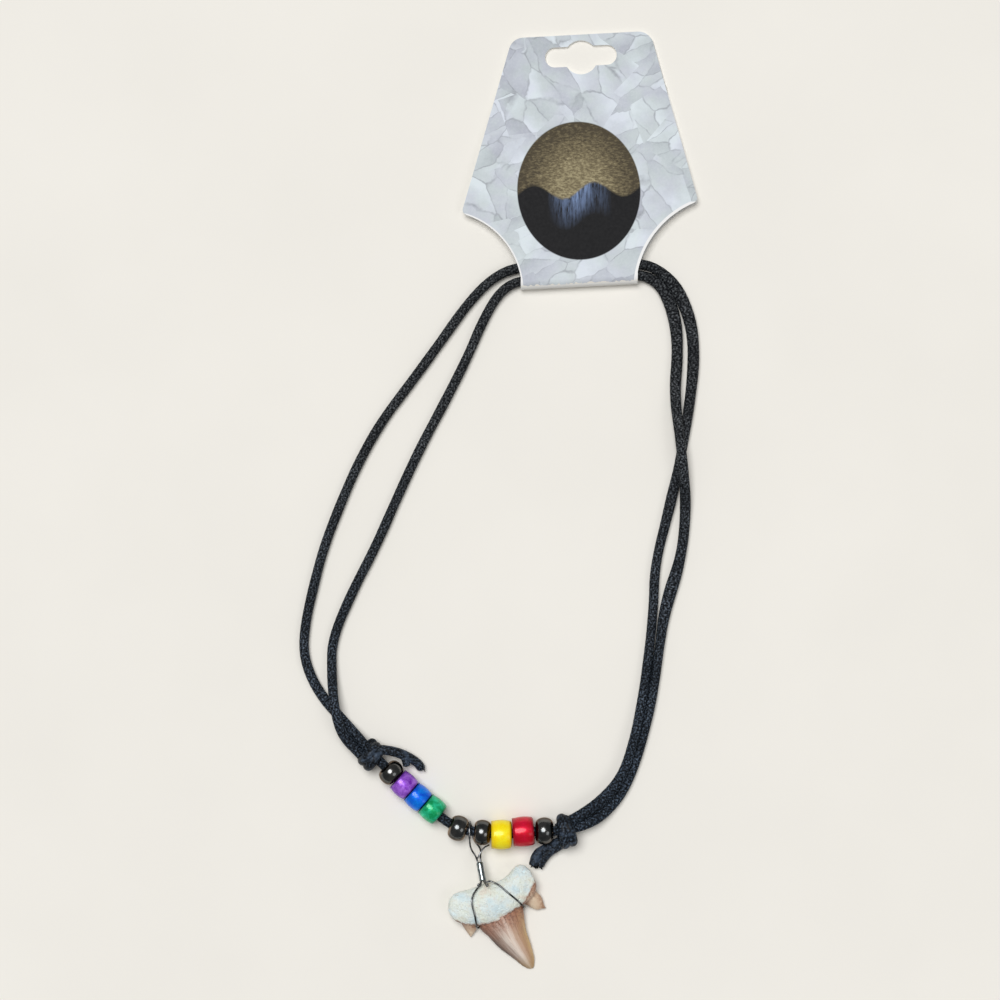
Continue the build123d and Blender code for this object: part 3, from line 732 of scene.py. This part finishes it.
def braided_mesh(
    name, points, diameter, cells=BRAID_CELLS, ends=(0.0, 0.0), wobble=0.0, seed=0, wider=(),
    relief=BRAID_RELIEF,
):
    """A braided cord along a line. Each end is rounded over its own length, or flat at 0. The
    cord swells at random by its wobble, and lies wider at some places."""
    sides = RING_POINTS
    line, stations = evenly(points, RING_STEP)
    rings = len(line)
    turn = np.linspace(0.0, 2.0 * np.pi, sides, endpoint=False)
    along = stations[:, None] / BRAID_CELL * 0.5
    around = turn[None, :] / (2.0 * np.pi) * cells
    height = braid_height(around, along)
    radius = np.full((rings, 1), diameter / 2.0)
    for reach, away in ((ends[0], stations), (ends[1], stations[-1] - stations)):
        if reach > 0:
            share = np.clip(away / reach, 0.0, 1.0)
            radius = radius * np.sqrt(np.clip(1.0 - (1.0 - share) ** 2, 0.0025, 1.0))[:, None]
    press = np.zeros(rings)
    for place, reach, share in wider:
        away = np.linalg.norm(line[:, :2] / MM - np.array(place), axis=1)
        press += share * np.exp(-((away / reach) ** 2))
    if wobble:
        waves = np.random.default_rng(seed).uniform(0, 6.28, 4)
        swell = np.sin(stations / (3.1 * MM) + waves[0]) + np.sin(stations / (1.7 * MM) + waves[1])
        radius = radius * (1.0 + wobble * swell)[:, None]
    grown = radius + (height - 0.8) * relief * np.minimum(1.0, radius / (diameter / 2.0))
    ring = rings_round(line, grown, turn)
    ring[:, :, :2] *= (1.0 + press)[:, None, None]
    ring[:, :, 2] *= (1.0 - 0.3 * press)[:, None]
    places = (line[:, None, :] + ring).reshape(-1, 3)
    places[:, 2] = np.maximum(places[:, 2], 0.0)
    mesh = tube_mesh(name, places, sides)
    mark(mesh, "crown", height)
    layer = mesh.uv_layers.new(name="UVMap")
    v_at = stations / BRAID_CELL
    uv = np.zeros((len(mesh.loops), 2), np.float32)
    i = np.repeat(np.arange(rings - 1), sides)
    j = np.tile(np.arange(sides), rings - 1)
    per_side = cells / sides
    corners = ((j, i), (j + 1, i), (j + 1, i + 1), (j, i + 1))
    quad = np.stack([np.stack([u * per_side, v_at[v]], axis=1) for u, v in corners], axis=1)
    uv[: len(i) * 4] = quad.reshape(-1, 2)
    layer.data.foreach_set("uv", uv.reshape(-1))
    mesh.validate()
    return mesh


def joined(name, meshes):
    """Several meshes as one."""
    build = bmesh.new()
    for mesh in meshes:
        build.from_mesh(mesh)
    whole = bpy.data.meshes.new(name)
    build.to_mesh(whole)
    build.free()
    for mesh in meshes:
        bpy.data.meshes.remove(mesh)
    return whole


def coil_points(knot):
    """A helix round the cord in a knot, its rings leaning as the slant does."""
    axis = Vector(knot["along"]).normalized()
    lean = Vector(knot["slant"]).normalized()
    flat = lean.cross(Vector((0, 0, 1))).normalized()
    high = flat.cross(lean).normalized()
    middle = metres(knot["centre"])
    wide, tall = knot["reach"]
    points = []
    steps = int(knot["turns"] * 40)
    for i in range(steps + 1):
        angle = knot["start"] + 2 * math.pi * knot["turns"] * i / steps
        gather = knot["gather"] + (1.0 - knot["gather"]) * (1.0 + math.cos(angle)) / 2
        shift = (i / steps - 0.5) * knot["pitch"] * knot["turns"] * gather
        squeeze = 1.0 + 0.04 * math.sin(2.3 * angle + 0.7)
        side = flat * (math.cos(angle) * wide * squeeze)
        rise = high * (math.sin(angle) * tall)
        points.append(middle + axis * shift + side + rise)
    return points


def round_mesh(name, points, diameter, sides=16, step=0.12 * MM, dome=True):
    """A plain round wire, its ends domed or flat."""
    line, stations = evenly(points, step)
    radius = np.full(len(line), diameter / 2.0)
    if dome:
        away = np.minimum(stations, stations[-1] - stations) / (diameter / 2.0)
        share = np.clip(away, 0.0, 1.0)
        radius = radius * np.sqrt(np.clip(1.0 - (1.0 - share) ** 2, 0.02, 1.0))
    turn = np.linspace(0.0, 2.0 * np.pi, sides, endpoint=False)
    ring = line[:, None, :] + rings_round(line, radius[:, None], turn)
    return tube_mesh(name, ring.reshape(-1, 3), sides)


def lathe(name, profile, centre, direction, steps=72, rims=None):
    """A closed profile of axial and radial points, turned about a direction. The rims say how
    near each point of the profile is to a rim."""
    direction = direction.normalized()
    side = Vector((-direction.y, direction.x, 0)).normalized()
    up = direction.cross(side)
    count = len(profile)
    places, faces = [], []
    for i in range(steps):
        angle = 2 * math.pi * i / steps
        radial = side * math.cos(angle) + up * math.sin(angle)
        for axial, radius in profile:
            places.append(centre + direction * axial + radial * radius)
    for i in range(steps):
        n = (i + 1) % steps
        for k in range(count):
            m = (k + 1) % count
            faces.append((i * count + k, n * count + k, n * count + m, i * count + m))
    mesh = bpy.data.meshes.new(name)
    mesh.from_pydata(places, [], faces)
    if rims:
        mark(mesh, "rim", rims * steps)
    return mesh


def metal_profile(diameter, length, bore):
    """A round bead, flattened at its two mouths, with a small rolled lip, and how near each
    point is to a mouth."""
    half, inner, outer = length / 2, bore / 2, diameter / 2
    profile = []
    bend = 26
    for i in range(bend + 1):
        angle = (-1 + 2 * i / bend) * math.pi / 2
        radius = inner + (outer - inner) * math.cos(angle) ** 0.86
        profile.append((half * math.sin(angle), radius))
    lip = 0.12 * MM
    profile[0] = (-half + lip * 0.4, inner + lip)
    profile[-1] = (half - lip * 0.4, inner + lip)
    profile += [(half - lip, inner), (0.0, inner), (-half + lip, inner)]
    near = [min(1.0, max(0.0, abs(axial) / half * 3.6 - 2.5)) for axial, radius in profile]
    return profile, near


def barrel_profile(diameter, length, bore, rim):
    """A barrel bead, round at its far rim and square at its near one, with a groove inside that
    one, and how near each point is to a rim."""
    half, inner, outer = length / 2, bore / 2, diameter / 2
    swell, flare = 0.2 * MM, 0.35 * MM
    level = outer - swell - rim
    corner, belly = 7, 14
    turns = [(i / corner, rim * math.sin(math.pi / 2 * i / corner)) for i in range(corner + 1)]
    rows = [(-half + rim - out, level + out, 1.0 - 0.6 * share) for share, out in turns[:-1]]
    for i in range(belly + 1):
        off = 2 * i / belly - 1
        rows.append(((half - rim) * off, outer - swell * off**2, abs(off) ** 3 * 0.35))
    rows += [
        (half - rim + out, level + down, 0.4 + 0.6 * share)
        for (share, out), (_, down) in zip(turns[1:], turns[-2::-1])
    ]
    mouth = [(0.02 * MM, inner + flare), (flare * 0.5, inner + flare * 0.25), (flare, inner)]
    rows += [(half - inward, radius, 1.0) for inward, radius in mouth]
    rows += [(-half + inward, radius, 1.0) for inward, radius in reversed(mouth)]
    return [row[:2] for row in rows], [row[2] for row in rows]


# The cords


cord_material = cord_look("woven_cord", 1.0, 0.06, 0.5, 0.0)
tight_material = cord_look("tight_cord", 0.65, 0.12, 0.34, 0.4)


def neck_cord(letter, route, wider, seed):
    """One neck cord from knot to knot."""
    name = "neck_cord_" + letter
    nodes = [f"neck_strand_{letter}_{side}" for side in ("left", "right")]
    line = spline_points(route)
    mesh = braided_mesh(name, line, CORD_D, wobble=0.012, seed=seed, wider=wider)
    new_piece(name, mesh, cord_material, nodes)


neck_cord("a", STRAND_A, WIDER_A, 3)
neck_cord("b", STRAND_B, WIDER_B, 5)
bead_mesh = braided_mesh("cord_through_beads", spline_points(BEAD_CORD), CORD_D)
new_piece("cord_through_beads", bead_mesh, cord_material, ["bead_cord"])


def frayed(points, diameter, seed, count):
    """The loose fibres at a cord's cut end."""
    rng = random.Random(seed)
    tip = Vector(points[-1])
    ahead = (tip - Vector(points[-12])).normalized()
    side = ahead.cross(Vector((0, 0, 1))).normalized()
    up = side.cross(ahead)
    meshes = []
    for _ in range(count):
        turn = rng.uniform(0, 2 * math.pi)
        out = side * math.cos(turn) + up * math.sin(turn)
        root = tip - ahead * 0.35 * MM + out * rng.uniform(0.2, 0.85) * diameter * 0.42
        long = rng.uniform(0.35, 0.95) * MM
        bend = out * rng.uniform(0.05, 0.45) * MM
        route = [root, root + ahead * long * 0.5 + bend * 0.3, root + ahead * long + bend]
        for point in route:
            point.z = max(point.z, 0.12 * MM)
        meshes.append(round_mesh("fibre", route, FIBRE_D, sides=5, step=0.1 * MM))
    return meshes


def knot_piece(node, knot, tails, seed):
    """The knot's turns and its tails, each a route, a diameter, its cells, the length that its
    end is rounded over and how many fibres it frays into."""
    name = node + "_turns"
    turns = braided_mesh(
        name, coil_points(knot), KNOT_D, ends=(0.8 * MM, 0.8 * MM), wobble=0.035, seed=seed,
        relief=TIGHT_RELIEF,
    )
    meshes = [turns]
    for number, (route, diameter, cells, dome, fibres) in enumerate(tails):
        line = spline_points(route)
        tail = braided_mesh(
            name, line, diameter, cells=cells, ends=(0.0, dome), wobble=0.03,
            seed=seed + number, relief=TIGHT_RELIEF,
        )
        meshes += [tail, *frayed(line, diameter, seed + number, fibres)]
    new_piece(name, joined(name, meshes), tight_material, [node])


left_tails = [
    (LEFT_TAIL, CORD_D, BRAID_CELLS, 1.0 * MM, 2),
    (LEFT_SPUR, SPUR_D, SPUR_CELLS, 0.6 * MM, 0),
]
knot_piece("left_knot", LEFT_KNOT, left_tails, 11)
right_tails = [(route, CORD_D, BRAID_CELLS, 0.4 * MM, 22) for route in (RIGHT_TAIL, RIGHT_SPUR)]
knot_piece("right_knot", RIGHT_KNOT, right_tails, 23)

# The beads

# How pearly each plastic is, and its deep colour, which also paints the shade at its rims, its
# middle and its pale colour
PLASTICS = {
    "purple_bead": (0.3, (66, 12, 118), (124, 46, 190), (186, 120, 244)),
    "blue_bead": (0.3, (0, 46, 150), (0, 92, 232), (0, 140, 255)),
    "green_bead": (0.3, (0, 80, 48), (0, 158, 92), (50, 222, 170)),
    "yellow_bead": (0.05, (236, 176, 0), (255, 228, 0), (255, 244, 40)),
    "red_bead": (0.3, (104, 0, 10), (202, 0, 26), (226, 10, 60)),
}


def bead_piece(name, node, profile, rims, degrees, slide, look, slot):
    """A bead of a profile, in line with the cord and slid from its solid's middle."""
    low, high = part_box(node)
    turn = math.radians(degrees)
    along = Vector((math.cos(turn), math.sin(turn), 0.0))
    mesh = lathe(name, profile, (low + high) / 2 + metres(slide), along, rims=rims)
    new_piece(name, mesh, look, [node])


metal_material = metal_look()
for name, (degrees, diameter, length, slide) in METAL_BEADS.items():
    shape = metal_profile(diameter * MM, length * MM, METAL_BORE)
    bead_piece("ball_" + name, name, *shape, degrees, slide, metal_material, "dark_metal")
for name, (degrees, diameter, length, rim, slide) in BARREL_BEADS.items():
    slot = name.replace("bead", "plastic")
    look = plastic_look(slot, *PLASTICS[name])
    shape = barrel_profile(diameter * MM, length * MM, BARREL_BORE, rim * MM)
    bead_piece("barrel_" + name, name, *shape, degrees, slide, look, slot)

# The wire and its crimp tube

wire_material = steel_look(
    "steel_wire", 1.1, 0.4, (0.045, 0.047, 0.05), (0.3, 0.31, 0.32), 5.0, 0.16, 0.3
)
crimp_material = steel_look(
    "steel_crimp", 0.9, 0.35, (0.16, 0.2, 0.215), (0.4, 0.44, 0.45), 4.0, 0.14, 0.24
)
wire_meshes = [round_mesh("wire", spline_points(WIRE), WIRE_D, dome=False)]
for route in (WIRE_CURL_LEFT, WIRE_CURL_RIGHT, WIRE_STUB):
    wire_meshes.append(round_mesh("wire", spline_points(route), CUT_WIRE_D))
wire_mesh = joined("pendant_wire", wire_meshes)
new_piece("pendant_wire", wire_mesh, wire_material, ["wire_bail"])


def crimp_piece():
    """The tube between its two ends, slightly waisted, with rounded lips."""
    lower, upper = map(metres, CRIMP_ENDS)
    outer, wall, lip = CRIMP_D / 2, CRIMP_WALL, 0.16 * MM
    half = (upper - lower).length / 2
    ends = [
        (half, outer - wall), (half - 0.02 * MM, outer - lip), (half - lip, outer - 0.02 * MM),
        (half - 2 * lip, outer), (0.45 * half, outer),
    ]
    bore = outer - 1.3 * wall
    profile = [(-axial, radius) for axial, radius in ends] + [(0.0, outer * 0.985)] + ends[::-1]
    profile += [(half - lip, bore), (0.0, bore), (-half + lip, bore)]
    mesh = lathe("crimp_sleeve", profile, (lower + upper) / 2, upper - lower, steps=48)
    new_piece("crimp_sleeve", mesh, crimp_material, ["crimp_tube"])


crimp_piece()

# The tooth


def remeshed(node, name, voxel):
    """A copy of a node's shape with even small faces."""
    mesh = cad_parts[node].data.copy()
    holder = placed(name, mesh)
    modifier = holder.modifiers.new("even", "REMESH")
    modifier.mode = "VOXEL"
    modifier.voxel_size = voxel
    settle = holder.modifiers.new("settle", "SMOOTH")
    settle.iterations = 3
    graph = bpy.context.evaluated_depsgraph_get()
    done = bpy.data.meshes.new_from_object(holder.evaluated_get(graph))
    bpy.data.objects.remove(holder)
    bpy.data.meshes.remove(mesh)
    done.name = name
    return done


def tooth_marks(x, y):
    """What the tooth's look reads at each place: how far into the enamel, down the crown and
    across it, and whether on a cusplet. Also how far the crown bows out to the left there."""
    line = np.interp(x, *zip(*ENAMEL_LINE))
    enamel = np.clip(0.5 + (line - y) / ENAMEL_BLEND, 0.0, 1.0)
    down = np.clip(-y / CROWN_LENGTH, 0.0, 1.0)
    lefts = np.interp(down, CROWN_DOWN, CROWN_LEFT)
    rights = np.interp(down, CROWN_DOWN, CROWN_RIGHT)
    across = np.clip((x - lefts) / np.maximum(rights - lefts, 0.5) * 2 - 1, -1.0, 1.0)
    for inner, middle, half in CUSPLETS:
        across = np.where(x / inner > 1.0, np.clip((x - middle) / half, -1.0, 1.0), across)
    left_end, right_end = CUSPLETS[0][0], CUSPLETS[1][0]
    cusplet = (x < left_end) & (y > CUSPLET_FOOT) | (x > right_end)
    down = np.where(cusplet, np.clip((line - y) / CUSPLET_LENGTH, 0.0, 0.6), down)
    leftward = ((lefts + rights) / 2 - x) / np.maximum((rights - lefts) / 2, 0.5)
    bow = np.clip(leftward, 0.0, 1.2) * np.interp(down, BOW_DOWN, BOW)
    bow *= np.where(cusplet, 0.0, np.clip(x - left_end, 0.0, 1.0))
    cusp = np.where(cusplet, 1.0, 0.0)
    return {"enamel": enamel, "down": down, "across": across, "cusp": cusp}, bow


def tooth_relief(place, enamel):
    """How far a place stands out: lumps and pits on the root, fine ridges on the crown."""
    p = Vector(place)
    rootness = 1.0 - min(1.0, max(0.0, (enamel - 0.42) / 0.16))
    lump = noise.noise(p * 0.42) * 0.18 + noise.noise(p * 1.1 + Vector((7, 3, 1))) * 0.12
    lump += noise.noise(p * 2.7 + Vector((4, 8, 6))) * 0.05
    pit = -max(0.0, noise.noise(p * 1.9 + Vector((2, 9, 4))) - 0.28) * 0.55
    ridge = noise.noise(Vector((place[0] * 1.6, place[1] * 0.16, 3.0))) * 0.035
    return rootness * (lump + pit - 0.03) + (1.0 - rootness) * (ridge - 0.01)


def tooth_piece():
    """The tooth's solid in small faces, with its relief, its fuller edges and its marks."""
    mesh = remeshed("shark_tooth", "fossil_tooth", TOOTH_FACE)
    turn = Matrix.Rotation(-TOOTH_TILT, 3, "Z")
    count = len(mesh.vertices)
    places, normals = np.zeros(count * 3), np.zeros(count * 3)
    mesh.vertices.foreach_get("co", places)
    mesh.vertices.foreach_get("normal", normals)
    places, normals = places.reshape(-1, 3), normals.reshape(-1, 3)
    local = (places - np.array(metres(TOOTH_AT))) @ np.array(turn).T / MM
    x, y = local[:, 0], local[:, 1]
    marks, bow = tooth_marks(x, y)
    relief = np.array([tooth_relief(place, share) for place, share in zip(local, marks["enamel"])])
    places = places + normals * (relief * MM)[:, None]
    pushes = [((-1.0, 0.0), bow)]
    for (swell_x, swell_y), reach, way in CUSPLET_SWELLS:
        pushes.append((way, np.exp(-((x - swell_x) ** 2 + (y - swell_y) ** 2) / reach**2)))
    for way, share in pushes:
        ahead = turn.transposed() @ Vector((*way, 0.0))
        places = places + np.array(ahead) * (share * MM)[:, None]
    mesh.vertices.foreach_set("co", places.reshape(-1))
    for name, values in marks.items():
        mark(mesh, name, values)
    new_piece("fossil_tooth", mesh, tooth_look(), ["shark_tooth"])


tooth_piece()

# The card


def cut_up(build, step):
    """Cuts square to x and to y, about a step apart, so that a panel can be moved."""
    low, high = [[pick(v.co[k] for v in build.verts) for k in (0, 1)] for pick in (min, max)]
    for axis, normal in enumerate((Vector((1, 0, 0)), Vector((0, 1, 0)))):
        steps = int((high[axis] - low[axis]) / step)
        for i in range(1, steps):
            spot = normal * (low[axis] + (high[axis] - low[axis]) * i / steps)
            geom = [*build.verts, *build.edges, *build.faces]
            bmesh.ops.bisect_plane(build, geom=geom, plane_co=spot, plane_no=normal)


def shift_back(build):
    """The back panel's outline moved to lie a little beyond the front's on the right."""
    turn = Matrix.Rotation(-CARD_TURN, 3, "Z")
    for vert in build.verts:
        if vert.co.z < BACK_LEVEL:
            level = (turn @ (vert.co - metres(CARD_AT))).y
            share = min(1.0, max(0.0, (level - 4.0 * MM) / (5.0 * MM)))
            reach = BACK_SHIFT * share * (1.0 - 0.5 * level / CARD_HEIGHT)
            vert.co.x += reach
            vert.co.y -= 0.4 * reach


def break_edges(build):
    """The printed side's cut edges, broken by a narrow bevel."""
    rims = []
    for edge in build.edges:
        slopes = sorted(face.normal.z for face in edge.link_faces)
        if len(slopes) == 2 and slopes[1] > 0.9 and abs(slopes[0]) < 0.3:
            if min(v.co.z for v in edge.verts) > FRONT_LEVEL:
                rims.append(edge)
    bmesh.ops.bevel(
        build, geom=rims, offset=BROKEN_EDGE, segments=1, affect="EDGES", clamp_overlap=True
    )


def card_piece():
    """The folded card. Its printed side is marked, so that the cut edges, the fold and the back
    stay white."""
    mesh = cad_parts["display_card"].data.copy()
    mesh.name = "folded_card"
    build = bmesh.new()
    build.from_mesh(mesh)
    bmesh.ops.remove_doubles(build, verts=build.verts, dist=1e-6)
    bmesh.ops.dissolve_limit(build, angle_limit=0.002, verts=build.verts, edges=build.edges)
    cut_up(build, CARD_FACE)
    shift_back(build)
    build.normal_update()
    break_edges(build)
    build.normal_update()
    build.to_mesh(mesh)
    build.free()
    printed = [face.normal.z > 0.8 and face.center.z > FRONT_LEVEL for face in mesh.polygons]
    mark(mesh, "printed", printed, "FACE")
    new_piece("folded_card", mesh, card_look(), ["display_card"], smooth=False)


card_piece()

# The surface, the lights and the camera


def stage_and_light():
    """A plain pale surface, two large softboxes and a dim white room."""
    bpy.ops.mesh.primitive_grid_add(x_subdivisions=4, y_subdivisions=4, size=FLOOR_SIZE)
    floor = bpy.context.object
    floor.name = "pale_surface"
    floor.data.materials.append(surface_look())
    for name, (place, size, power) in SOFTBOXES.items():
        data = bpy.data.lights.new(name, "AREA")
        data.shape = "DISK"
        data.size = size
        data.energy = power
        aim = Vector(LIGHT_AIM) - Vector(place)
        placed(name, data, place).rotation_euler = aim.to_track_quat("-Z", "Y").to_euler()
    world = bpy.data.worlds.new("studio")
    world.use_nodes = True
    background = world.node_tree.nodes["Background"]
    background.inputs["Color"].default_value = (1.0, 0.985, 0.96, 1.0)
    background.inputs["Strength"].default_value = WORLD_LIGHT
    bpy.context.scene.world = world
    bpy.context.scene.view_settings.view_transform = "Standard"


def camera():
    """The camera, straight above the middle of the view."""
    data = bpy.data.cameras.new("camera")
    data.lens = LENS
    data.sensor_width = SENSOR
    data.clip_start = 0.01
    height = VIEW_WIDTH * LENS / SENSOR + VIEW_LEVEL
    bpy.context.scene.camera = placed("camera", data, (*VIEW_AT, height))


stage_and_light()
camera()
